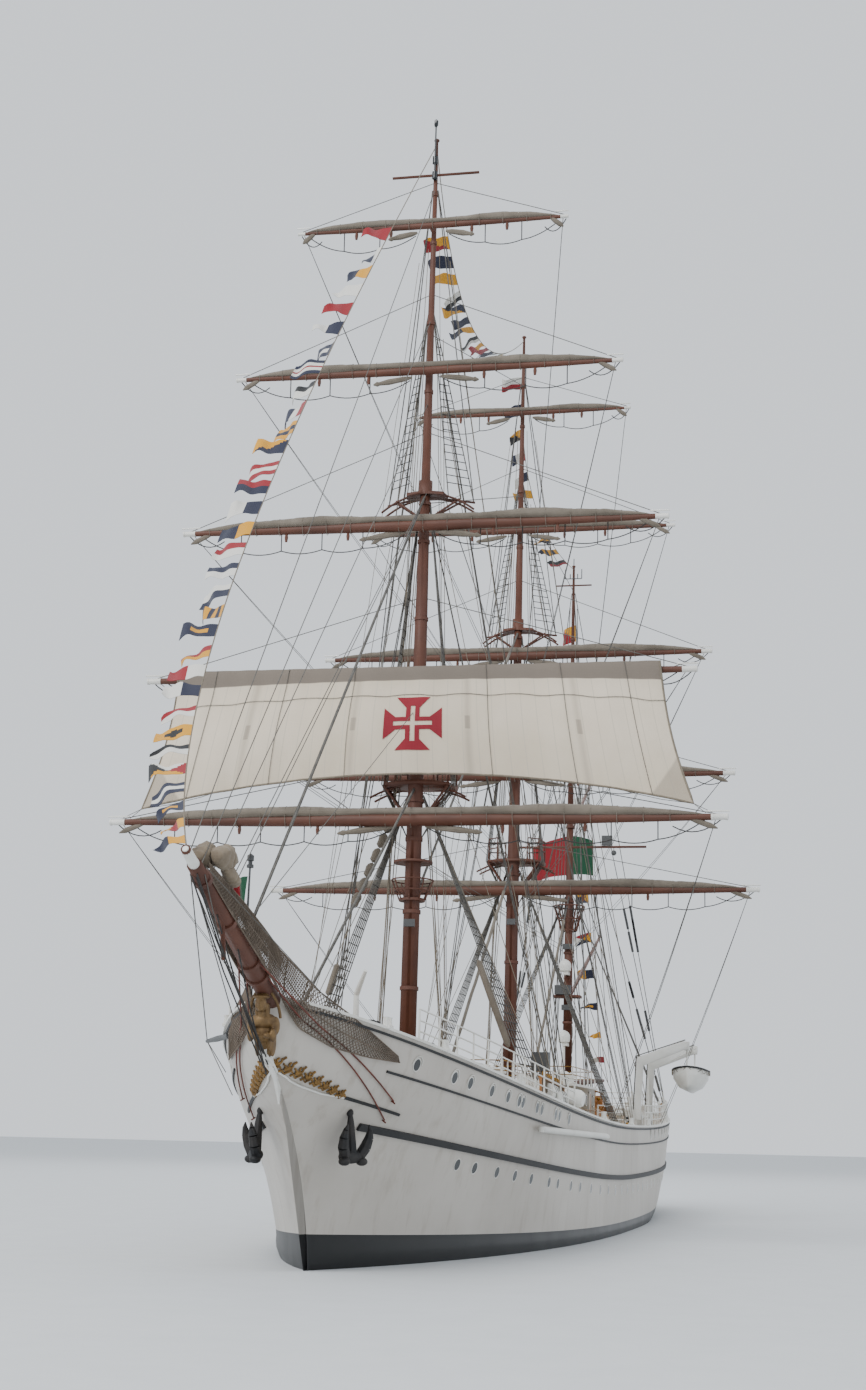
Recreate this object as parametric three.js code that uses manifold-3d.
// Three-masted training barque, afloat, as a scale model at one tenth of full size.
// Sizes are written in metres of the full-size ship, and M turns them into millimetres of the model.
// Frame: origin amidships on the waterline, +X to the bow, +Y to port, +Z up.
import * as THREE from "three";
import { mergeVertices } from "three/addons/utils/BufferGeometryUtils.js";
import Module from "manifold-3d";

const wasm = await Module();
wasm.setup();

// Scale and small gaps
const M = 100;
const GAP = 0.3;
const PIN_GAP = 0.6;
const deg = THREE.MathUtils.degToRad;

// Hull driving sizes
const HALF_BEAM = 6.0;
const SHEER_LENGTH = 40.4;
const RAIL_THICKNESS = 0.14;
const DECK_CAMBER = 0.12;
const STEM_HALF_SIDING = 0.14;

// Masts: x where the axis meets the waterline, and heights above it
const RAKE = deg(2.26);
const MASTS = {
  fore: { x: 22.11, foot: 4.2, head: 29.5, truck: 44.9 },
  main: { x: -0.64, foot: 3.0, head: 29.5, truck: 45.2 },
  mizzen: { x: -20.3, foot: 4.0, head: 22.6, truck: 38.1 },
};

// Yards of one square-rigged mast: height, half length, radii, how far the yard and its pivot lie ahead
// of the mast's axis, and the furled sail's radius
const YARDS = [
  { name: "course_yard", z: 15.8, half: 12.0, mid: 0.26, end: 0.12, ahead: 0.9, pivot: 0.52, furl: 0.23 },
  { name: "lower_topsail_yard", z: 21.5, half: 10.87, mid: 0.25, end: 0.12, ahead: 0.8, pivot: 0.45, furl: 0.22 },
  { name: "upper_topsail_yard", z: 27.66, half: 9.78, mid: 0.23, end: 0.11, ahead: 0.72, pivot: 0.39, furl: 0.22 },
  { name: "topgallant_yard", z: 34.3, half: 7.94, mid: 0.18, end: 0.09, ahead: 0.6, pivot: 0.32, furl: 0.19 },
  { name: "royal_yard", z: 40.75, half: 5.65, mid: 0.14, end: 0.07, ahead: 0.52, pivot: 0.27, furl: 0.16 },
];
const SIGNAL_YARD = { z: 43.3, half: 1.84, radius: 0.06 };
const TRUSS = { plate: 0.06, lug: 0.16, knuckle: 0.08, cheek: 0.076, pin: 0.04 };

// The set lower topsail on the foremast
const SAIL = {
  headZ: 21.37, headHalf: 9.7, clewZ: 16.45, clewHalf: 10.7, footRise: 1.1, belly: 0.55, thickness: 0.12,
};

// Bowsprit: two points on its axis, its radii and its white cap
const BOWSPRIT = {
  heel: [37.4, 6.72], cap: [47.75, 10.8], tip: [48.5, 11.1], root: 0.3, end: 0.2, capRadius: 0.13,
};

// Finishes
const FINISH = {
  hull: new THREE.MeshStandardMaterial({ color: 0xe4e4de, roughness: 0.45, metalness: 0.0 }),
  spar: new THREE.MeshStandardMaterial({ color: 0x6b3a26, roughness: 0.5, metalness: 0.0 }),
  varnish: new THREE.MeshStandardMaterial({ color: 0xa9713f, roughness: 0.4, metalness: 0.0 }),
  white: new THREE.MeshStandardMaterial({ color: 0xecebe6, roughness: 0.5, metalness: 0.0 }),
  canvas: new THREE.MeshStandardMaterial({ color: 0xd9cfba, roughness: 0.9, metalness: 0.0 }),
  cover: new THREE.MeshStandardMaterial({ color: 0x8f8c80, roughness: 0.9, metalness: 0.0 }),
  gilt: new THREE.MeshStandardMaterial({ color: 0x9a7437, roughness: 0.4, metalness: 0.6 }),
  iron: new THREE.MeshStandardMaterial({ color: 0x1c1c1d, roughness: 0.6, metalness: 0.4 }),
  bronze: new THREE.MeshStandardMaterial({ color: 0xa8823e, roughness: 0.35, metalness: 0.9 }),
  stay: new THREE.MeshStandardMaterial({ color: 0x9c9a92, roughness: 0.8, metalness: 0.1 }),
};

// Solids: three.js geometries in, closed manifolds out, and back again
function toSolid(geometry) {
  const bare = geometry.clone();
  bare.deleteAttribute("normal");
  bare.deleteAttribute("uv");
  const merged = mergeVertices(bare, 1e-3);
  const mesh = new wasm.Mesh({
    numProp: 3,
    vertProperties: new Float32Array(merged.attributes.position.array),
    triVerts: new Uint32Array(merged.index.array),
  });
  return new wasm.Manifold(mesh);
}

function toGeometry(solid) {
  const mesh = solid.getMesh();
  const geometry = new THREE.BufferGeometry();
  geometry.setAttribute("position", new THREE.BufferAttribute(mesh.vertProperties.slice(), 3));
  geometry.setIndex(new THREE.BufferAttribute(mesh.triVerts.slice(), 1));
  geometry.computeVertexNormals();
  return geometry;
}

function join(solids) {
  return solids.reduce((whole, solid) => whole.add(solid));
}

function moved(solid, x, y, z) {
  return solid.translate([x, y, z]);
}

// Keeps a small gap to what carries the piece, in each of the directions given
function clearOf(solid, carrier, directions) {
  return directions.reduce((rest, [x, y, z]) => rest.subtract(moved(carrier, x * GAP, y * GAP, z * GAP)), solid);
}

// The main body of a cut piece, without the slivers that a cut may leave
function largest(solid) {
  return solid.decompose().sort((a, b) => b.volume() - a.volume())[0];
}

// A block given by its lowest and highest corners, in metres of the full-size ship
function block([x0, y0, z0], [x1, y1, z1]) {
  const box = new THREE.BoxGeometry((x1 - x0) * M, (y1 - y0) * M, (z1 - z0) * M);
  box.translate((x0 + x1) * M / 2, (y0 + y1) * M / 2, (z0 + z1) * M / 2);
  return toSolid(box);
}

// A turned piece: rows of [distance along the axis, radius], its axis running from one point to another
function turned(from, to, rows, sides) {
  const start = new THREE.Vector3(...from).multiplyScalar(M);
  const end = new THREE.Vector3(...to).multiplyScalar(M);
  const length = start.distanceTo(end);
  const profile = [new THREE.Vector2(0, 0)];
  for (const [share, radius] of rows) {
    profile.push(new THREE.Vector2(radius * M, share * length));
  }
  profile.push(new THREE.Vector2(0, length));
  const lathe = new THREE.LatheGeometry(profile, sides);
  const direction = end.clone().sub(start).normalize();
  const turn = new THREE.Quaternion().setFromUnitVectors(new THREE.Vector3(0, 1, 0), direction);
  lathe.applyQuaternion(turn);
  lathe.translate(start.x, start.y, start.z);
  return toSolid(lathe);
}

function rod(from, to, radius, sides = 8) {
  return turned(from, to, [[0, radius], [1, radius]], sides);
}

function ball([x, y, z], [rx, ry, rz], sides = 10, rings = 5) {
  const sphere = new THREE.SphereGeometry(1, sides, rings);
  sphere.rotateX(Math.PI / 2);
  sphere.scale(rx * M, ry * M, rz * M);
  sphere.translate(x * M, y * M, z * M);
  return toSolid(sphere);
}

// A loft through closed rings with the same number of points, capped at both ends by a zigzag strip
function loft(rings) {
  const count = rings[0].length;
  const positions = rings.flat().flatMap(([x, y, z]) => [x * M, y * M, z * M]);
  const index = [];
  for (let ring = 0; ring < rings.length - 1; ring++) {
    for (let point = 0; point < count; point++) {
      const next = (point + 1) % count;
      const a = ring * count + point;
      const b = ring * count + next;
      index.push(a, b, a + count, b, b + count, a + count);
    }
  }
  for (const [first, flip] of [[0, true], [(rings.length - 1) * count, false]]) {
    for (let low = 0; low < Math.floor((count - 1) / 2); low++) {
      const high = count - 1 - low;
      const corners = [[low, low + 1, high], [low + 1, high - 1, high]];
      for (const [a, b, c] of corners.filter(([, near, far]) => near !== far)) {
        index.push(...(flip ? [b, a, c] : [a, b, c]).map((point) => point + first));
      }
    }
  }
  const geometry = new THREE.BufferGeometry();
  geometry.setAttribute("position", new THREE.BufferAttribute(new Float32Array(positions), 3));
  geometry.setIndex(index);
  return toSolid(geometry);
}

// Hull form
// Each level is a curve along the side: its height amidships, how much it rises to bow and stern, its
// greatest half breadth, where it ends at bow and stern, and the fullness powers of bow and stern
const LEVELS = [
  { z: -5.2, bow: 0.0, stern: 0.0, half: 0.3, fore: 29.0, aft: -34.55, foreP: 2.6, foreQ: 0.5, aftP: 2.6, aftQ: 0.5 },
  { z: -4.8, bow: 0.1, stern: 0.0, half: 1.0, fore: 30.4, aft: -34.55, foreP: 1.6, foreQ: 1.5, aftP: 1.6, aftQ: 1.9 },
  { z: -4.1, bow: 0.2, stern: 0.0, half: 2.5, fore: 31.9, aft: -34.55, foreP: 1.7, foreQ: 1.5, aftP: 1.7, aftQ: 2.0 },
  { z: -3.0, bow: 0.2, stern: 0.2, half: 4.15, fore: 33.4, aft: -34.55, foreP: 1.9, foreQ: 1.35, aftP: 1.9, aftQ: 1.8 },
  { z: -1.6, bow: 0.1, stern: 0.5, half: 5.3, fore: 34.6, aft: -34.6, foreP: 2.2, foreQ: 1.15, aftP: 2.2, aftQ: 1.4 },
  { z: 0.0, bow: 0.0, stern: 0.4, half: 5.97, fore: 35.3, aft: -35.3, foreP: 2.6, foreQ: 0.9, aftP: 2.6, aftQ: 0.9 },
  { z: 0.5, bow: 0.9, stern: 0.9, half: 6.0, fore: 35.6, aft: -36.9, foreP: 2.7, foreQ: 0.9, aftP: 2.8, aftQ: 0.75 },
  { z: 1.4, bow: 1.8, stern: 0.95, half: 6.0, fore: 36.45, aft: -38.2, foreP: 2.8, foreQ: 0.88, aftP: 3.0, aftQ: 0.66 },
  { z: 2.4, bow: 2.55, stern: 1.0, half: 6.0, fore: 38.05, aft: -39.3, foreP: 2.9, foreQ: 0.86, aftP: 3.2, aftQ: 0.58 },
  { z: 3.15, bow: 2.75, stern: 1.1, half: 6.0, fore: 39.6, aft: -39.9, foreP: 2.95, foreQ: 0.83, aftP: 3.3, aftQ: 0.55 },
  { z: 3.9, bow: 2.9, stern: 1.2, half: 6.0, fore: 40.3, aft: -40.35, foreP: 3.0, foreQ: 0.76, aftP: 3.4, aftQ: 0.52 },
  { z: 4.7, bow: 3.2, stern: 1.4, half: 6.0, fore: 40.4, aft: -40.6, foreP: 3.1, foreQ: 0.68, aftP: 3.5, aftQ: 0.5 },
];
const RAIL_LEVEL = LEVELS.length - 1;
const RISE_POWER = 2.15;

// Decks: from where to where, and how far below the rail the deck lies
const FORECASTLE_BREAK = 16.5;
const POOP_BREAK = -7.0;
const LOW_DECK = 1.0;
const HIGH_DECK = 0.16;
const STEP = 0.06;

// Stations as shares of the distance from the middle to each level's own end
const AFT_SHARES = [1, 0.985, 0.96, 0.92, 0.86, 0.78, 0.69, 0.6, 0.5, 0.38, 0.25];
const FORE_SHARES = [0.25, 0.33, 0.5, 0.6, 0.7, 0.78, 0.85, 0.91, 0.955, 0.985, 1];

function levelPoint(level, share) {
  const end = share > 0 ? level.fore : level.aft;
  const [power, fullness] = share > 0 ? [level.foreP, level.foreQ] : [level.aftP, level.aftQ];
  const x = Math.abs(share) * end;
  const taper = Math.pow(Math.max(0, 1 - Math.pow(Math.abs(share), power)), fullness);
  const along = Math.min(1, Math.abs(x) / SHEER_LENGTH);
  const rise = (share > 0 ? level.bow : level.stern) * Math.pow(along, RISE_POWER);
  return [x, Math.max(STEM_HALF_SIDING, level.half * taper), level.z + rise];
}

// One closed ring round the hull: port side up, over the rail, across the deck, and down to starboard
function hullRing(share, below) {
  const side = LEVELS.map((level) => levelPoint(level, share));
  const [railX, railHalf, railZ] = side[RAIL_LEVEL];
  const inner = Math.max(railHalf - RAIL_THICKNESS, STEM_HALF_SIDING * 0.3);
  const port = [...side, [railX, inner, railZ], [railX, inner * 0.998, railZ - below]];
  const centre = [railX, 0, railZ - below + DECK_CAMBER * inner / HALF_BEAM];
  const starboard = port.map(([x, y, z]) => [x, -y, z]).reverse();
  return [...port, centre, ...starboard];
}

function stationList() {
  const fore = LEVELS[RAIL_LEVEL].fore;
  const aft = -LEVELS[RAIL_LEVEL].aft;
  const list = [];
  for (const share of AFT_SHARES) {
    list.push([-share, -share * aft < POOP_BREAK ? HIGH_DECK : LOW_DECK]);
  }
  list.push([POOP_BREAK / aft, HIGH_DECK], [(POOP_BREAK + STEP) / aft, LOW_DECK], [0.001, LOW_DECK]);
  for (const share of FORE_SHARES) {
    list.push([share, share * fore > FORECASTLE_BREAK ? HIGH_DECK : LOW_DECK]);
  }
  list.push([(FORECASTLE_BREAK - STEP) / fore, LOW_DECK], [FORECASTLE_BREAK / fore, HIGH_DECK]);
  return list.sort((a, b) => a[0] - b[0]);
}

// Screw aperture cut through the deadwood, ahead of the rudder post
const APERTURE = { aft: -34.1, fore: -32.6, low: -4.35, high: -1.55 };
const SCREW = { x: -33.35, z: -2.95, hub: 0.24, shaft: 0.12, reach: 1.28, blades: 4 };

// Boat booms stowed along the hull, hinged at their forward ends
const BOAT_BOOM = { hinge: [23.2, 4.4], end: [12.0, 4.2], off: 0.22, radius: 0.12, fork: 0.3 };

// Half breadth of the side at x and z, read off the hull's body by a thin probe
function sideAt(body, x, z) {
  const probe = block([x - 0.005, 0, z - 0.005], [x + 0.005, 12, z + 0.005]);
  return probe.subtract(body).boundingBox().min[1] / M;
}

// Hinge bracket of a boat boom, welded to the hull's side: part of the hull
function boomBracket(body, side) {
  const [hingeX, hingeZ] = BOAT_BOOM.hinge;
  const skin = sideAt(body, hingeX, hingeZ);
  const hingeY = skin + BOAT_BOOM.fork;
  const lugs = [-1, 1].map((end) => {
    const z = hingeZ + end * 0.14;
    const low = [hingeX - 0.1, Math.min(side * (skin - 0.3), side * (hingeY + 0.08)), z - 0.03];
    const high = [hingeX + 0.1, Math.max(side * (skin - 0.3), side * (hingeY + 0.08)), z + 0.03];
    return block(low, high);
  });
  const pin = rod([hingeX, side * hingeY, hingeZ - 0.17], [hingeX, side * hingeY, hingeZ + 0.17], 0.04, 12);
  return join([...lugs, pin]);
}

// Rudder: its stock turns in a trunk bored up into the stern
const RUDDER = { stock: -34.8, stockRadius: 0.13, low: -5.1, high: -1.85, head: -0.5, chord: 2.25, half: 0.11 };

// The bowsprit's tapered spar, grown by a gap where it is used to cut its bed in the bow
function bowspritSpar(grow) {
  const [heelX, heelZ] = BOWSPRIT.heel;
  const [capX, capZ] = BOWSPRIT.cap;
  const rows = [[0, BOWSPRIT.root + grow], [0.45, BOWSPRIT.root * 0.95 + grow], [1, BOWSPRIT.end + grow]];
  return turned([heelX - grow, 0, heelZ - grow * 0.4], [capX, 0, capZ], rows, 16);
}

function buildHull() {
  const rings = stationList().map(([share, below]) => hullRing(share, below));
  const body = loft(rings);
  const opening = block([APERTURE.aft, -1.2, APERTURE.low], [APERTURE.fore, 1.2, APERTURE.high]);
  const bore = rod([APERTURE.fore - 0.2, 0, SCREW.z], [APERTURE.fore + 0.6, 0, SCREW.z], 0.13, 12);
  const trunkRadius = RUDDER.stockRadius + PIN_GAP / M;
  const trunkHead = RUDDER.head + GAP / M;
  const trunk = rod([RUDDER.stock, 0, RUDDER.high - 0.2], [RUDDER.stock, 0, trunkHead], trunkRadius, 12);
  const brackets = [1, -1].map((side) => boomBracket(body, side));
  return join([body.subtract(opening).subtract(bore).subtract(trunk), ...brackets]).subtract(bowspritSpar(GAP / M));
}

const hull = buildHull();
const ship = new THREE.Group();

function addMesh(parent, name, solid, material) {
  const mesh = new THREE.Mesh(toGeometry(solid), material);
  mesh.name = name;
  parent.add(mesh);
  return mesh;
}

addMesh(ship, "hull", hull, FINISH.hull);

// Height of the deck's middle line at x, read off the finished hull by a thin probe
function deckHeight(x, y = 0) {
  const probe = block([x - 0.005, y - 0.005, 3.3], [x + 0.005, y + 0.005, 12]);
  const free = probe.subtract(hull);
  return free.boundingBox().min[2] / M;
}

// Rudder and screw

function buildRudder() {
  const blade = new THREE.Shape();
  const aft = RUDDER.stock - RUDDER.chord;
  blade.moveTo(RUDDER.stock * M, RUDDER.low * M);
  blade.lineTo(RUDDER.stock * M, RUDDER.high * M);
  blade.lineTo((aft + 0.7) * M, RUDDER.high * M);
  blade.lineTo(aft * M, -2.4 * M);
  blade.lineTo(aft * M, -4.3 * M);
  blade.lineTo((aft + 0.5) * M, RUDDER.low * M);
  const plate = new THREE.ExtrudeGeometry(blade, { depth: RUDDER.half * 2 * M, bevelEnabled: false });
  plate.rotateX(Math.PI / 2);
  plate.translate(0, RUDDER.half * M, 0);
  const stock = rod([RUDDER.stock, 0, RUDDER.low], [RUDDER.stock, 0, RUDDER.head], RUDDER.stockRadius, 12);
  return join([toSolid(plate), stock]);
}

const rudder = buildRudder();
addMesh(ship, "rudder", rudder, FINISH.hull);

function buildScrew() {
  const nose = SCREW.x - SCREW.hub * 1.9;
  const hub = turned([nose, 0, SCREW.z], [SCREW.x + 0.3, 0, SCREW.z], [[0, 0.06], [0.35, 0.2], [1, SCREW.hub]], 16);
  const shaft = rod([SCREW.x + 0.2, 0, SCREW.z], [APERTURE.fore + 0.55, 0, SCREW.z], SCREW.shaft, 12);
  const pieces = [hub, shaft];
  for (let blade = 0; blade < SCREW.blades; blade++) {
    const plate = new THREE.CylinderGeometry(0.5 * M, 0.5 * M, 0.1 * M, 16);
    plate.rotateZ(Math.PI / 2);
    plate.scale(1, 0.62, 1.1);
    plate.rotateZ(deg(-38));
    plate.translate(0, 0, (SCREW.reach - 0.55) * M);
    plate.rotateX(blade * 2 * Math.PI / SCREW.blades);
    plate.translate(SCREW.x * M, 0, SCREW.z * M);
    pieces.push(toSolid(plate));
  }
  return join(pieces);
}

addMesh(ship, "propeller", buildScrew(), FINISH.bronze);

// Bowsprit, figurehead and anchors
function buildBowsprit() {
  const [capX, capZ] = BOWSPRIT.cap;
  const [tipX, tipZ] = BOWSPRIT.tip;
  const cap = rod([capX - 0.3, 0, capZ - 0.12], [tipX, 0, tipZ], BOWSPRIT.capRadius, 12);
  const striker = rod([45.2, 0, 9.7], [44.9, 0, 8.6], 0.07, 8);
  return join([bowspritSpar(0), cap, striker]);
}

const bowsprit = buildBowsprit();
addMesh(ship, "bowsprit", bowsprit, FINISH.spar);

// Half-length figure: [x, y, z, radius x, radius y, radius z] of each rounded form
const FIGURE = [
  [40.15, 0, 6.05, 0.46, 0.27, 0.56],
  [40.6, 0, 6.65, 0.46, 0.37, 0.55],
  [40.95, 0, 7.12, 0.36, 0.47, 0.38],
  [41.28, 0, 7.58, 0.24, 0.21, 0.29],
];

function buildFigurehead() {
  const forms = FIGURE.map(([x, y, z, rx, ry, rz]) => ball([x, y, z], [rx, ry, rz]));
  const away = [[1, 0, 0], [0.7, 0.7, 0], [0.7, -0.7, 0]];
  return clearOf(clearOf(join(forms), hull, away), bowsprit, [[0, 0, -2]]);
}

addMesh(ship, "figurehead", buildFigurehead(), FINISH.gilt);

// Stockless anchor housed against the bow: crown with its palms, two flukes and the shank's end.
// Toe and flare turn its own frame (y outwards from the plating, z up along it) onto the hull's side
const ANCHOR = { x: 35.7, z: 4.15, half: 1.24, toe: deg(27), flare: deg(28) };

function buildAnchor(side) {
  const crown = block([-0.62, 0, -0.8], [0.62, 0.34, -0.42]);
  const shank = block([-0.12, 0.02, -0.5], [0.12, 0.26, 0.85]);
  const arms = [-1, 1].flatMap((end) => {
    const fluke = turned([end * 0.4, 0.2, -0.6], [end * 0.52, 0.42, 0.42], [[0, 0.22], [0.6, 0.17], [1, 0.03]], 8);
    const palm = ball([end * 0.62, 0.34, -0.68], [0.16, 0.24, 0.14], 8, 4);
    return [fluke, palm];
  });
  const flare = new THREE.Matrix4().makeRotationX(-ANCHOR.flare);
  const face = new THREE.Matrix4().makeRotationZ(side > 0 ? -ANCHOR.toe : Math.PI + ANCHOR.toe);
  const place = new THREE.Matrix4().makeTranslation(ANCHOR.x * M, side * ANCHOR.half * M, ANCHOR.z * M);
  const whole = join([crown, shank, ...arms]).transform(place.multiply(face).multiply(flare).elements);
  return largest(clearOf(whole, hull, [[0.6, side * 0.8, 0]]));
}

addMesh(ship, "port_anchor", buildAnchor(1), FINISH.iron);
addMesh(ship, "starboard_anchor", buildAnchor(-1), FINISH.iron);

// Masts: each stands in its own raked frame, whose origin is on the mast's axis at the waterline
function rakedFrame(x) {
  const frame = new THREE.Group();
  frame.position.set(x * M, 0, 0);
  frame.rotation.y = -RAKE;
  frame.updateMatrixWorld();
  ship.add(frame);
  return frame;
}

function inFrame(solid, frame) {
  return solid.transform(frame.matrix.clone().invert().elements);
}

// A plate with the outline given as half of a symmetric plan, from [x, y] points, front to back
function deckPlate(half, low, high) {
  const points = [...half, ...half.slice().reverse().map(([x, y]) => [x, -y])];
  const shape = new THREE.Shape(points.map(([x, y]) => new THREE.Vector2(x * M, y * M)));
  const plate = new THREE.ExtrudeGeometry(shape, { depth: (high - low) * M, bevelEnabled: false });
  plate.translate(0, 0, low * M);
  return toSolid(plate);
}

const TOP_PLAN = [[0.44, 0.35], [0.3, 0.8], [-0.1, 1.3], [-1.1, 1.45], [-1.25, 0.6]];
const CROSSTREE_PLAN = [[0.25, 0.3], [0.1, 0.75], [-0.4, 0.85], [-0.6, 0.35]];
const PLATFORM = { topLow: 17.3, topHigh: 17.45, treeLow: 29.15, treeHigh: 29.27, spreader: 1.8 };

function trussLug(yard) {
  const low = yard.z - TRUSS.lug / 2;
  const high = yard.z + TRUSS.lug / 2;
  const arm = block([0, -TRUSS.knuckle, low], [yard.pivot, TRUSS.knuckle, high]);
  return join([arm, rod([yard.pivot, 0, low], [yard.pivot, 0, high], TRUSS.knuckle, 8)]);
}

function pinHole(yard) {
  const reach = TRUSS.lug / 2 + 0.05;
  const radius = TRUSS.pin + PIN_GAP / M;
  return rod([yard.pivot, 0, yard.z - reach], [yard.pivot, 0, yard.z + reach], radius, 8);
}

function buildSquareMast(name, mast) {
  const frame = rakedFrame(mast.x);
  const deckHull = inFrame(hull, frame);
  const span = mast.head - mast.foot;
  const rows = [[0, 0.33], [(17 - mast.foot) / span, 0.3], [(24 - mast.foot) / span, 0.25], [1, 0.19]];
  const pole = turned([0, 0, mast.foot], [0, 0, mast.head], rows, 16);
  const lowYards = YARDS.filter((yard) => yard.z < mast.head);
  const highYards = YARDS.filter((yard) => yard.z > mast.head);
  let lower = join([pole, ...lowYards.map(trussLug)]);
  lowYards.forEach((yard) => { lower = lower.subtract(pinHole(yard)); });
  const seated = clearOf(lower, deckHull, [[0, 0, 1]]);

  const top = deckPlate(TOP_PLAN, PLATFORM.topLow, PLATFORM.topHigh);
  const collar = (z, radius) => rod([0, 0, z - 0.5], [0, 0, z + 0.5], radius, 16);
  const topPlate = top.subtract(collar(PLATFORM.topLow, 0.3 + GAP / M));

  const tree = deckPlate(CROSSTREE_PLAN, PLATFORM.treeLow, PLATFORM.treeHigh);
  const treeZ = (PLATFORM.treeLow + PLATFORM.treeHigh) / 2;
  const spreaders = [-1, 1].map((side) => rod([-0.3, 0, treeZ], [-1.2, side * PLATFORM.spreader, treeZ], 0.05, 6));
  const sleeve = rod([0, 0, PLATFORM.treeLow], [0, 0, mast.head + 0.25], 0.28, 16);
  const upperFoot = mast.head + GAP / M;
  const socket = rod([0, 0, PLATFORM.treeLow - 0.3], [0, 0, upperFoot], 0.205 + GAP / M, 16);

  const upperSpan = mast.truck - upperFoot;
  const share = (z) => (z - upperFoot) / upperSpan;
  const upperRows = [[0, 0.19], [share(34), 0.16], [share(40), 0.11], [share(43.2), 0.09], [1, 0.06]];
  const upperPole = turned([0, 0, upperFoot], [0, 0, mast.truck], upperRows, 16);
  const truckBall = ball([0, 0, mast.truck], [0.12, 0.12, 0.08]);
  const signal = SIGNAL_YARD;
  const signalYard = rod([0, -signal.half, signal.z], [0, signal.half, signal.z], signal.radius, 8);
  const upperPieces = [upperPole, truckBall, sleeve, tree, ...spreaders, ...highYards.map(trussLug)];
  if (name === "fore") {
    upperPieces.push(signalYard);
  }
  let upper = join(upperPieces).subtract(socket);
  highYards.forEach((yard) => { upper = upper.subtract(pinHole(yard)); });

  addMesh(frame, `${name}_lower_mast`, seated, FINISH.spar);
  addMesh(frame, `${name}_top`, topPlate, FINISH.spar);
  addMesh(frame, `${name}_upper_mast`, upper, FINISH.spar);
  return frame;
}

function buildYard(yard) {
  const rows = [[0, yard.end * 0.8], [0.02, yard.end], [0.25, yard.mid * 0.86], [0.42, yard.mid], [0.58, yard.mid],
    [0.75, yard.mid * 0.86], [0.98, yard.end], [1, yard.end * 0.8]];
  const spar = turned([yard.ahead, -yard.half, yard.z], [yard.ahead, yard.half, yard.z], rows, 10);
  const gap = PIN_GAP / M;
  const plates = [-1, 1].map((end) => {
    const near = yard.z + end * (TRUSS.lug / 2 + gap);
    const far = yard.z + end * (TRUSS.lug / 2 + gap + TRUSS.plate);
    const low = Math.min(near, far);
    const high = Math.max(near, far);
    const arm = block([yard.pivot, -TRUSS.cheek, low], [yard.ahead - 0.05, TRUSS.cheek, high]);
    return join([arm, rod([yard.pivot, 0, low], [yard.pivot, 0, high], TRUSS.knuckle, 8)]);
  });
  const reach = TRUSS.lug / 2 + gap + TRUSS.plate;
  const pin = rod([yard.pivot, 0, yard.z - reach], [yard.pivot, 0, yard.z + reach], TRUSS.pin, 8);
  return join([spar, ...plates, pin]);
}

// A furled sail on top of its yard, thick in the middle and thin towards the yardarms
function buildFurledSail(yard, spar) {
  const reach = yard.half * 0.955;
  const x = yard.ahead + 0.06;
  const z = yard.z + yard.mid + yard.furl * 0.27;
  const rows = [[0, 0.04], [0.06, yard.furl * 0.45], [0.25, yard.furl * 0.85], [0.5, yard.furl],
    [0.75, yard.furl * 0.85], [0.94, yard.furl * 0.45], [1, 0.04]];
  const roll = turned([x, -reach, z], [x, reach, z], rows, 8);
  return clearOf(roll, spar, [[0, 0, 1]]);
}

// The set sail: a thin shell, bellied ahead, between its head on the yard and the clews below
function buildSetSail() {
  const yard = YARDS[1];
  const across = 14;
  const down = 6;
  const rings = [];
  for (let j = 0; j <= across; j++) {
    const side = 2 * j / across - 1;
    const front = [];
    const back = [];
    for (let i = 0; i <= down; i++) {
      const fall = i / down;
      const half = THREE.MathUtils.lerp(SAIL.headHalf, SAIL.clewHalf, fall);
      const foot = SAIL.clewZ + SAIL.footRise * (1 - side * side);
      const z = THREE.MathUtils.lerp(SAIL.headZ, foot, fall);
      const belly = SAIL.belly * Math.sin(Math.PI * Math.min(1, fall * 0.85)) * (1 - Math.pow(side, 4));
      const x = yard.ahead + 0.1 + belly;
      front.push([x + SAIL.thickness / 2, side * half, z]);
      back.push([x - SAIL.thickness / 2, side * half, z]);
    }
    rings.push([...front, ...back.reverse()]);
  }
  return loft(rings);
}

for (const name of ["fore", "main"]) {
  const frame = buildSquareMast(name, MASTS[name]);
  for (const yard of YARDS) {
    const spar = buildYard(yard);
    addMesh(frame, `${name}_${yard.name}`, spar, FINISH.spar);
    if (name === "fore" && yard.name === "lower_topsail_yard") {
      const sail = clearOf(buildSetSail(), spar, [[0, 0, -1], [1, 0, 0], [1, 0, -1]]);
      addMesh(frame, "fore_lower_topsail", sail, FINISH.canvas);
    } else {
      const furled = yard.name.replace("_yard", "_furled_sail");
      addMesh(frame, `${name}_${furled}`, buildFurledSail(yard, spar), FINISH.cover);
    }
  }
}

// Mizzen mast with its spanker boom and two gaffs, each on a gooseneck at the mast's after side
const MIZZEN = { lowRadius: 0.28, midRadius: 0.24, headRadius: 0.18, pivot: -0.5, yardZ: 36.9, yardHalf: 1.1 };
const MIZZEN_PLATFORM = { plan: [[0.75, 0.35], [0.6, 0.8], [-0.2, 0.8], [-0.3, 0.4]], low: 12.0, high: 12.12 };
const BOOMS = [
  { name: "spanker_boom", z: 7.2, length: 16.2, rise: 1.25, radius: 0.17 },
  { name: "spanker_lower_gaff", z: 12.2, length: 13.9, rise: 5.35, radius: 0.13 },
  { name: "spanker_upper_gaff", z: 22.0, length: 8.6, rise: 4.7, radius: 0.11 },
];
const SIGNAL_SPREADER = { z: 20.8, starboard: -3.5, port: 4.5, radius: 0.07 };

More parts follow.
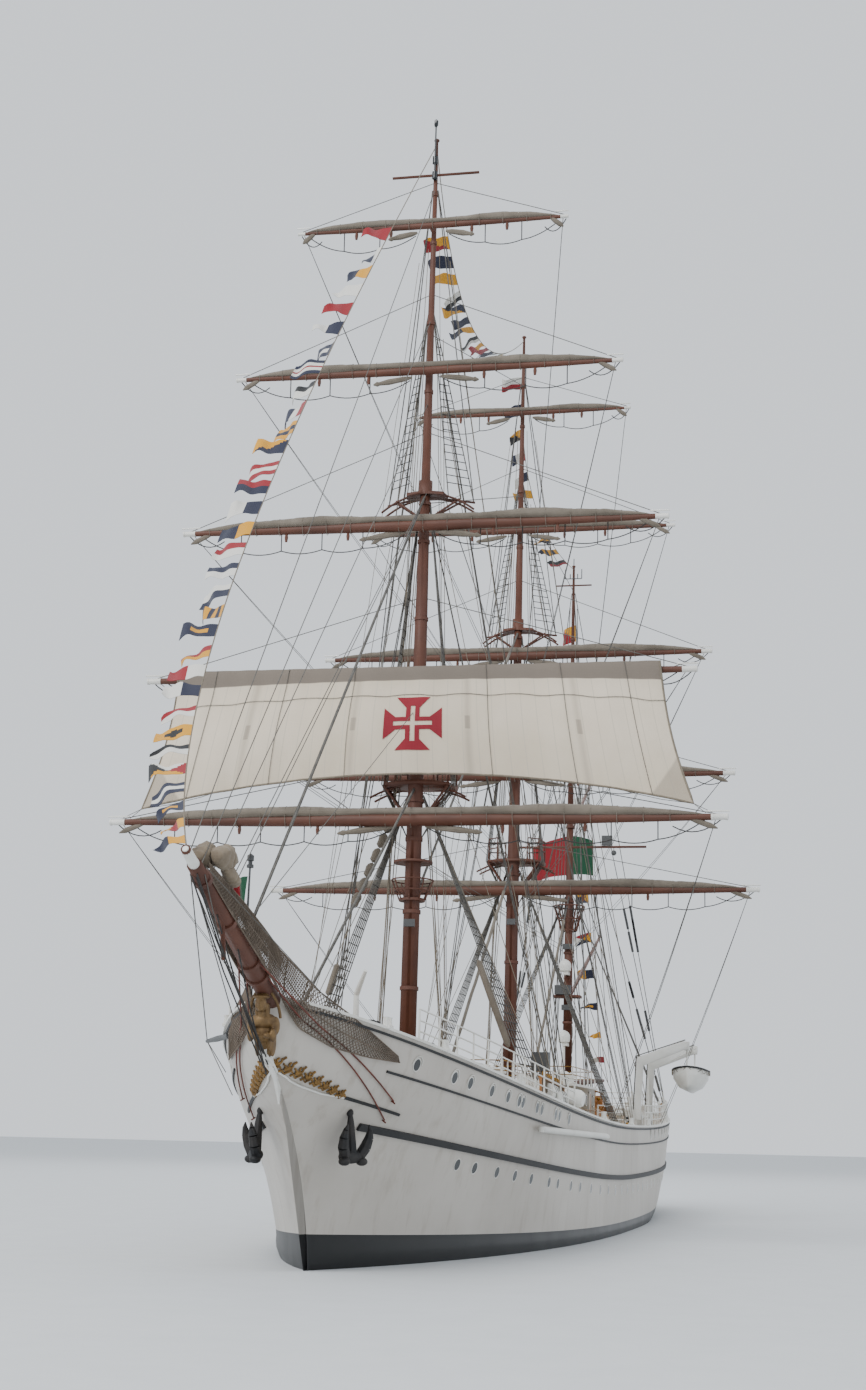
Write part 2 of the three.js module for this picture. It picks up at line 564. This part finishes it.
function gooseneckLug(boom) {
  const half = TRUSS.lug / 2;
  const arm = block([MIZZEN.pivot, -TRUSS.knuckle, boom.z - half], [0, TRUSS.knuckle, boom.z + half]);
  const eye = rod([MIZZEN.pivot, 0, boom.z - half], [MIZZEN.pivot, 0, boom.z + half], TRUSS.knuckle, 8);
  const through = half + 0.12;
  const radius = TRUSS.pin + PIN_GAP / M;
  const hole = rod([MIZZEN.pivot, 0, boom.z - through], [MIZZEN.pivot, 0, boom.z + through], radius, 8);
  return { solid: join([arm, eye]), hole };
}

function buildMizzen() {
  const mast = MASTS.mizzen;
  const frame = rakedFrame(mast.x);
  const deckHull = inFrame(hull, frame);
  const span = mast.head - mast.foot;
  const rows = [[0, MIZZEN.lowRadius], [(15 - mast.foot) / span, MIZZEN.midRadius], [1, MIZZEN.headRadius]];
  const pole = turned([0, 0, mast.foot], [0, 0, mast.head], rows, 16);
  const lugs = BOOMS.map(gooseneckLug);
  const spreader = SIGNAL_SPREADER;
  const arm = rod([0.1, spreader.starboard, spreader.z], [0.1, spreader.port, spreader.z], spreader.radius, 8);
  const platform = deckPlate(MIZZEN_PLATFORM.plan, MIZZEN_PLATFORM.low, MIZZEN_PLATFORM.high);
  let lower = join([pole, arm, platform, ...lugs.map((lug) => lug.solid)]);
  lugs.forEach((lug) => { lower = lower.subtract(lug.hole); });
  addMesh(frame, "mizzen_lower_mast", clearOf(lower, deckHull, [[0, 0, 1]]), FINISH.spar);

  const upperFoot = mast.head + GAP / M;
  const upperPole = turned([0, 0, upperFoot], [0, 0, mast.truck], [[0, MIZZEN.headRadius], [1, 0.07]], 12);
  const yardlet = rod([0, -MIZZEN.yardHalf, MIZZEN.yardZ], [0, MIZZEN.yardHalf, MIZZEN.yardZ], 0.05, 8);
  const truckBall = ball([0, 0, mast.truck], [0.12, 0.12, 0.08]);
  addMesh(frame, "mizzen_upper_mast", join([upperPole, yardlet, truckBall]), FINISH.spar);

  for (const boom of BOOMS) {
    const gap = PIN_GAP / M;
    const half = TRUSS.lug / 2;
    const start = [MIZZEN.pivot - 0.3, 0, boom.z];
    const end = [MIZZEN.pivot - boom.length, 0, boom.z + boom.rise];
    const spar = turned(start, end, [[0, boom.radius * 0.8], [0.4, boom.radius], [1, boom.radius * 0.6]], 12);
    const plates = [-1, 1].map((side) => {
      const near = boom.z + side * (half + gap);
      const far = boom.z + side * (half + gap + TRUSS.plate);
      const low = Math.min(near, far);
      const high = Math.max(near, far);
      const plate = block([MIZZEN.pivot - 0.4, -TRUSS.cheek, low], [MIZZEN.pivot, TRUSS.cheek, high]);
      return join([plate, rod([MIZZEN.pivot, 0, low], [MIZZEN.pivot, 0, high], TRUSS.knuckle, 8)]);
    });
    const reach = half + gap + TRUSS.plate;
    const cheekLow = [MIZZEN.pivot - 0.45, -TRUSS.knuckle, boom.z - reach];
    const cheek = block(cheekLow, [MIZZEN.pivot - 0.25, TRUSS.knuckle, boom.z + reach]);
    const pin = rod([MIZZEN.pivot, 0, boom.z - reach], [MIZZEN.pivot, 0, boom.z + reach], TRUSS.pin, 8);
    addMesh(frame, boom.name, join([spar, ...plates, cheek, pin]), FINISH.varnish);
  }

  const bundleRows = [[0, 0.08], [0.12, 0.17], [0.9, 0.15], [1, 0.06]];
  const bundle = turned([-0.44, 0, 7.7], [-0.41, 0, 11.7], bundleRows, 10);
  addMesh(frame, "furled_spanker", clearOf(bundle, pole, [[-1, 0, 0]]), FINISH.cover);
}

buildMizzen();

// Houses and deck gear, each cut to the deck that it stands on
const HOUSES = [
  { name: "fore_house", low: [5.5, -2.1], high: [13.0, 2.1], top: 6.35, roof: 0.12 },
  { name: "main_house", low: [-17.6, -2.0], high: [-8.6, 2.0], top: 6.85, roof: 0.12 },
];

function buildHouse(house) {
  const walls = block([house.low[0], house.low[1], 2.5], [house.high[0], house.high[1], house.top]);
  const lip = 0.15;
  const roof = block([house.low[0] - lip, house.low[1] - lip, house.top - house.roof],
    [house.high[0] + lip, house.high[1] + lip, house.top]);
  return clearOf(join([walls, roof]), hull, [[0, 0, 1]]);
}

for (const house of HOUSES) {
  addMesh(ship, house.name, buildHouse(house), FINISH.white);
}

// Anchor windlass on the forecastle deck
function buildWindlass() {
  const bed = block([33.2, -1.3, 5.4], [34.2, 1.3, 6.75]);
  const barrel = rod([33.7, -1.6, 7.1], [33.7, 1.6, 7.1], 0.3, 14);
  const cheeks = [-1.1, 0, 1.1].map((y) => block([33.4, y - 0.12, 6.6], [34.0, y + 0.12, 7.2]));
  return clearOf(join([bed, barrel, ...cheeks]), hull, [[0, 0, 1]]);
}

addMesh(ship, "windlass", buildWindlass(), FINISH.white);

// Helm: a gear box on the poop with a double wheel on one shaft
const HELM = { x: -33.4, z: 6.4, radius: 0.62, boxAft: -34.8, boxFore: -33.9 };

function buildHelm() {
  const foot = block([HELM.boxAft, -0.4, 3.0], [HELM.boxFore, 0.4, HELM.z + 0.35]);
  const bore = rod([HELM.boxFore - 0.4, 0, HELM.z], [HELM.boxFore + 0.1, 0, HELM.z], 0.06 + PIN_GAP / M, 12);
  addMesh(ship, "helm_box", clearOf(foot, hull, [[0, 0, 1]]).subtract(bore), FINISH.varnish);
  const shaft = rod([HELM.boxFore - 0.35, 0, HELM.z], [HELM.x + 0.1, 0, HELM.z], 0.06, 12);
  const rim = new THREE.TorusGeometry(HELM.radius * M, 0.05 * M, 4, 14);
  rim.rotateY(Math.PI / 2);
  rim.translate(HELM.x * M, 0, HELM.z * M);
  const spokes = [0, 1, 2, 3].map((index) => {
    const angle = index * Math.PI / 4;
    const reach = HELM.radius * 1.25;
    const y = Math.cos(angle) * reach;
    const z = Math.sin(angle) * reach;
    return rod([HELM.x, -y, HELM.z - z], [HELM.x, y, HELM.z + z], 0.03, 4);
  });
  const boss = rod([HELM.x - 0.08, 0, HELM.z], [HELM.x + 0.08, 0, HELM.z], 0.14, 8);
  addMesh(ship, "helm_wheel", join([shaft, toSolid(rim), ...spokes, boss]), FINISH.varnish);
}

buildHelm();

// Boat davits: two box arms on one shaft at the rail, luffed inboard about that shaft
const DAVIT = {
  arms: [-8.4, -14.0], foot: [5.35, 5.25], knee: [5.5, 8.0], head: [7.85, 8.9], leg: 0.15, shaft: 0.1,
};
const BOAT = { length: 4.9, half: 0.92, depth: 1.15, z: 7.1 };

function davitArm(x, side) {
  const leg = 0.16;
  const [footY, footZ] = DAVIT.foot;
  const [kneeY, kneeZ] = DAVIT.knee;
  const [headY, headZ] = DAVIT.head;
  const outline = [
    [footY - leg, footZ - leg], [footY + leg, footZ - leg], [kneeY + leg, kneeZ - 0.2],
    [headY + 0.12, headZ - 0.2], [headY + 0.12, headZ + 0.12], [headY - 0.15, headZ + 0.15],
    [kneeY - leg, kneeZ + 0.2],
  ];
  const shape = new THREE.Shape(outline.map(([y, z]) => new THREE.Vector2(side * y * M, z * M)));
  const arm = new THREE.ExtrudeGeometry(shape, { depth: 2 * DAVIT.leg * M, bevelEnabled: false });
  arm.rotateX(Math.PI / 2);
  arm.rotateZ(Math.PI / 2);
  arm.translate((x - DAVIT.leg) * M, 0, 0);
  return toSolid(arm);
}

function buildDavit(side) {
  const [aft, fore] = [DAVIT.arms[1], DAVIT.arms[0]];
  const [footY, footZ] = DAVIT.foot;
  const [headY, headZ] = DAVIT.head;
  const shaft = rod([aft, side * footY, footZ], [fore, side * footY, footZ], DAVIT.shaft, 12);
  const pins = DAVIT.arms.map((x) => {
    const inward = x === aft ? 1 : -1;
    return rod([x, side * headY, headZ], [x + inward * 0.42, side * headY, headZ], 0.05, 12);
  });
  return join([...DAVIT.arms.map((x) => davitArm(x, side)), shaft, ...pins]);
}

// Bearings that carry the davit's shaft on the deck edge
function buildBearings(side) {
  const [footY, footZ] = DAVIT.foot;
  const inner = Math.min(side * (footY - 0.25), side * (footY + 0.2));
  const outer = Math.max(side * (footY - 0.25), side * (footY + 0.2));
  const [aft, fore] = [DAVIT.arms[1] + 0.4, DAVIT.arms[0] - 0.4];
  const posts = [[aft, aft + 0.35], [fore - 0.35, fore]].map(([low, high]) => {
    return block([low, inner, 3.8], [high, outer, footZ + 0.22]);
  });
  const sill = block([aft, inner, 3.8], [fore, outer, deckHeight(-11, footY) + 0.12]);
  const boreRadius = DAVIT.shaft + PIN_GAP / M;
  const bore = rod([aft - 0.1, side * footY, footZ], [fore + 0.1, side * footY, footZ], boreRadius, 16);
  return clearOf(join([...posts, sill]).subtract(bore), hull, [[0, 0, 1], [0, -side, 0]]);
}

function buildBoat(side) {
  const centreX = (DAVIT.arms[0] + DAVIT.arms[1]) / 2;
  const [headY, headZ] = DAVIT.head;
  const shares = [-1, -0.9, -0.65, -0.3, 0, 0.3, 0.65, 0.9, 1];
  const rings = shares.map((share) => {
    const half = Math.max(0.05, BOAT.half * Math.sqrt(1 - Math.pow(Math.abs(share), 2.4)));
    const keel = BOAT.z - BOAT.depth / 2 + 0.18 * Math.pow(share, 4);
    const gunwale = BOAT.z + BOAT.depth / 2 + 0.16 * share * share;
    const x = centreX + share * BOAT.length / 2;
    const section = [[0, 0], [0.62, 0.22], [0.95, 0.6], [1, 1]];
    const starboard = section.map(([across, up]) => [x, headY * side - half * across, keel + (gunwale - keel) * up]);
    const port = section.slice(1).reverse().map(([across, up]) => {
      return [x, headY * side + half * across, keel + (gunwale - keel) * up];
    });
    return [...starboard, ...port].reverse();
  });
  const shell = loft(rings);
  const falls = [[-1, DAVIT.arms[1] + 0.33], [1, DAVIT.arms[0] - 0.33]].map(([end, x]) => {
    const low = [x - 0.07, headY * side - 0.13, headZ - 0.3];
    const pulley = block(low, [x + 0.07, headY * side + 0.13, headZ + 0.14]);
    const fall = rod([x - end * 0.1, headY * side, BOAT.z], [x, headY * side, headZ - 0.2], 0.04, 8);
    const eye = rod([x - 0.2, headY * side, headZ], [x + 0.2, headY * side, headZ], 0.05 + PIN_GAP / M, 12);
    return join([pulley, fall]).subtract(eye);
  });
  return join([shell, ...falls]);
}

for (const [name, side] of [["port", 1], ["starboard", -1]]) {
  addMesh(ship, `${name}_davit_bearings`, buildBearings(side), FINISH.white);
  addMesh(ship, `${name}_davit`, buildDavit(side), FINISH.white);
  addMesh(ship, `${name}_boat`, buildBoat(side), FINISH.white);
}

function buildBoatBoom(side) {
  const [hingeX, hingeZ] = BOAT_BOOM.hinge;
  const [endX, endZ] = BOAT_BOOM.end;
  const hingeY = sideAt(hull, hingeX, hingeZ) + BOAT_BOOM.fork;
  const needed = [0.2, 0.35, 0.5, 0.65, 0.8, 1].map((along) => {
    const skin = sideAt(hull, THREE.MathUtils.lerp(hingeX, endX, along), THREE.MathUtils.lerp(hingeZ, endZ, along));
    return hingeY + (skin + BOAT_BOOM.off - hingeY) / along;
  });
  const endY = Math.max(...needed);
  const rows = [[0, 0.08], [0.03, BOAT_BOOM.radius], [0.97, BOAT_BOOM.radius], [1, 0.08]];
  const spar = turned([hingeX - 0.15, side * hingeY, hingeZ], [endX, side * endY, endZ], rows, 10);
  const eye = rod([hingeX, side * hingeY, hingeZ - 0.1], [hingeX, side * hingeY, hingeZ + 0.1], 0.1, 12);
  const tongueLow = [hingeX - 0.3, side * hingeY - 0.06, hingeZ - 0.08];
  const tongue = block(tongueLow, [hingeX, side * hingeY + 0.06, hingeZ + 0.08]);
  const holeRadius = 0.04 + PIN_GAP / M;
  const hole = rod([hingeX, side * hingeY, hingeZ - 0.4], [hingeX, side * hingeY, hingeZ + 0.4], holeRadius, 12);
  return join([spar, eye, tongue]).subtract(hole);
}

// Life raft canisters on racks at the after end of the forecastle deck
const RAFT = { fore: 19.6, aft: 17.6, y: 5.0, reach: 0.8, radius: 0.4, rack: 0.25 };

function buildRafts(side) {
  const { y, reach, radius, rack } = RAFT;
  const inner = Math.min(side * (y - rack), side * (y + rack));
  const outer = Math.max(side * (y - rack), side * (y + rack));
  const rows = [[0, radius * 0.75], [0.1, radius], [0.9, radius], [1, radius * 0.75]];
  const pieces = [RAFT.fore, RAFT.aft].flatMap((x) => {
    const low = deckHeight(x, y);
    const z = low + radius + 0.12;
    const canister = turned([x - reach, side * y, z], [x + reach, side * y, z], rows, 14);
    return [canister, block([x - 0.6, inner, low - 0.4], [x + 0.6, outer, low + 0.25])];
  });
  const base = deckHeight((RAFT.fore + RAFT.aft) / 2, y);
  const sill = block([RAFT.aft - 0.6, inner, base - 0.4], [RAFT.fore + 0.6, outer, base + 0.15]);
  return clearOf(join([...pieces, sill]), hull, [[0, 0, 1], [0, -side, 0]]);
}

for (const [name, side] of [["port", 1], ["starboard", -1]]) {
  addMesh(ship, `${name}_life_rafts`, buildRafts(side), FINISH.white);
  addMesh(ship, `${name}_boat_boom`, buildBoatBoom(side), FINISH.white);
}

// Main stays: from [x, z] high on a mast to [x, z] low, all on the middle line
const STAYS = [
  { name: "fore_stay", high: [21.72, 17.1], low: [38.0, 7.2], radius: 0.05 },
  { name: "fore_topmast_stay", high: [21.1, 29.05], low: [43.4, 9.0], radius: 0.05 },
  { name: "main_stay", high: [-1.1, 17.15], low: [18.6, 3.5], radius: 0.05 },
  { name: "main_topmast_stay", high: [-1.6, 28.95], low: [21.6, 12.6], radius: 0.05 },
  { name: "mizzen_stay", high: [-21.0, 18.0], low: [-3.5, 3.0], radius: 0.05 },
];

// What a stay may touch at its ends: masts in the world frame, the bowsprit and the hull
const meshSolid = (name) => {
  const mesh = ship.getObjectByName(name);
  mesh.updateWorldMatrix(true, false);
  return toSolid(mesh.geometry.clone().applyMatrix4(mesh.matrixWorld));
};
const STAY_ENDS = [
  "hull", "bowsprit", "fore_lower_mast", "fore_upper_mast", "main_lower_mast", "mizzen_lower_mast",
];

for (const stay of STAYS) {
  const line = rod([stay.high[0], 0, stay.high[1]], [stay.low[0], 0, stay.low[1]], stay.radius, 8);
  const around = [[1, 0, 0], [-1, 0, 0], [0, 0, 1], [0, 0, -1]];
  const cut = STAY_ENDS.reduce((rest, name) => clearOf(rest, meshSolid(name), around), line);
  addMesh(ship, stay.name, largest(cut), FINISH.stay);
}

// Signal flags dressed over the fore and main trucks: bowed lines from the bowsprit's tip, with a flag at each
// share of the way, the pitch a little closer towards the top
const FLAG = { hoist: 0.95, fly: 1.15, half: 0.03, droop: 0.3, line: 0.04 };
const FLAG_LINE_START = [48.45, 0, 11.2];
const TRUCK_RING = { down: 0.2, outer: 0.16, half: 0.05, pole: 0.066 };
const DRESSING = [
  { to: MASTS.fore, bow: [1.2, -2.57, -4.34], first: 0.012, last: 0.92, closer: 0.14, flags: 32 },
  { to: MASTS.main, bow: [0, -0.52, -3.74], first: 0.2, last: 0.86, closer: 0, flags: 14 },
];

function truckPoint(mast) {
  const z = mast.truck - TRUCK_RING.down;
  return new THREE.Vector3(mast.x - z * Math.sin(RAKE), 0, z * Math.cos(RAKE));
}

function buildFlag(at, share, length) {
  const reach = FLAG.hoist / 2 / length;
  const top = at(share + reach);
  const foot = at(share - reach);
  const across = new THREE.Vector3(0, -1, 0).cross(top.clone().sub(foot)).setLength(FLAG.half);
  const rings = [0, 0.5, 1].map((along) => {
    const out = new THREE.Vector3(0, -FLAG.fly * along, -FLAG.droop * along * along);
    return [[top, 1], [foot, 1], [foot, -1], [top, -1]].map(([edge, side]) => {
      return edge.clone().add(out).addScaledVector(across, side).toArray();
    });
  });
  return loft(rings);
}

function buildLine(at, steps) {
  const rings = [];
  for (let i = 0; i <= steps; i++) {
    const spot = at(i / steps);
    const along = at(Math.min(1, (i + 1) / steps)).sub(at(Math.max(0, (i - 1) / steps))).normalize();
    const side = new THREE.Vector3(0, 1, 0).cross(along).normalize();
    const up = along.clone().cross(side);
    const turns = [0, 1, 2, 3, 4, 5].map((k) => k * Math.PI / 3);
    rings.push(turns.map((turn) => spot.clone().addScaledVector(side, FLAG.line * Math.cos(turn))
      .addScaledVector(up, FLAG.line * Math.sin(turn)).toArray()));
  }
  return loft(rings);
}

function buildDressing() {
  const pieces = [];
  let a = new THREE.Vector3(...FLAG_LINE_START);
  for (const { to, bow, first, last, closer, flags } of DRESSING) {
    const b = truckPoint(to);
    const length = a.distanceTo(b);
    const start = a;
    const at = (t) => start.clone().lerp(b, t).addScaledVector(new THREE.Vector3(...bow), 4 * t * (1 - t));
    pieces.push(buildLine(at, 24));
    for (let i = 0; i < flags; i++) {
      const even = i / (flags - 1);
      pieces.push(buildFlag(at, first + (last - first) * even + closer * even * (1 - even), length));
    }
    pieces.push(rod([b.x, 0, b.z - TRUCK_RING.half], [b.x, 0, b.z + TRUCK_RING.half], TRUCK_RING.outer, 10));
    a = b;
  }
  const bores = DRESSING.map(({ to }) => truckPoint(to)).map((spot) => {
    return rod([spot.x + 0.01, 0, spot.z - 0.3], [spot.x - 0.01, 0, spot.z + 0.1], TRUCK_RING.pole + GAP / M, 12);
  });
  const around = [[1, 0, 0], [-1, 0, 0], [0, 0, 1], [0, 0, -1]];
  const whole = bores.reduce((rest, bore) => rest.subtract(bore), join(pieces));
  const carriers = ["bowsprit", "fore_upper_mast", "main_upper_mast"];
  return largest(carriers.reduce((rest, name) => clearOf(rest, meshSolid(name), around), whole));
}

addMesh(ship, "dressing_flags", buildDressing(), FINISH.canvas);

export default ship;
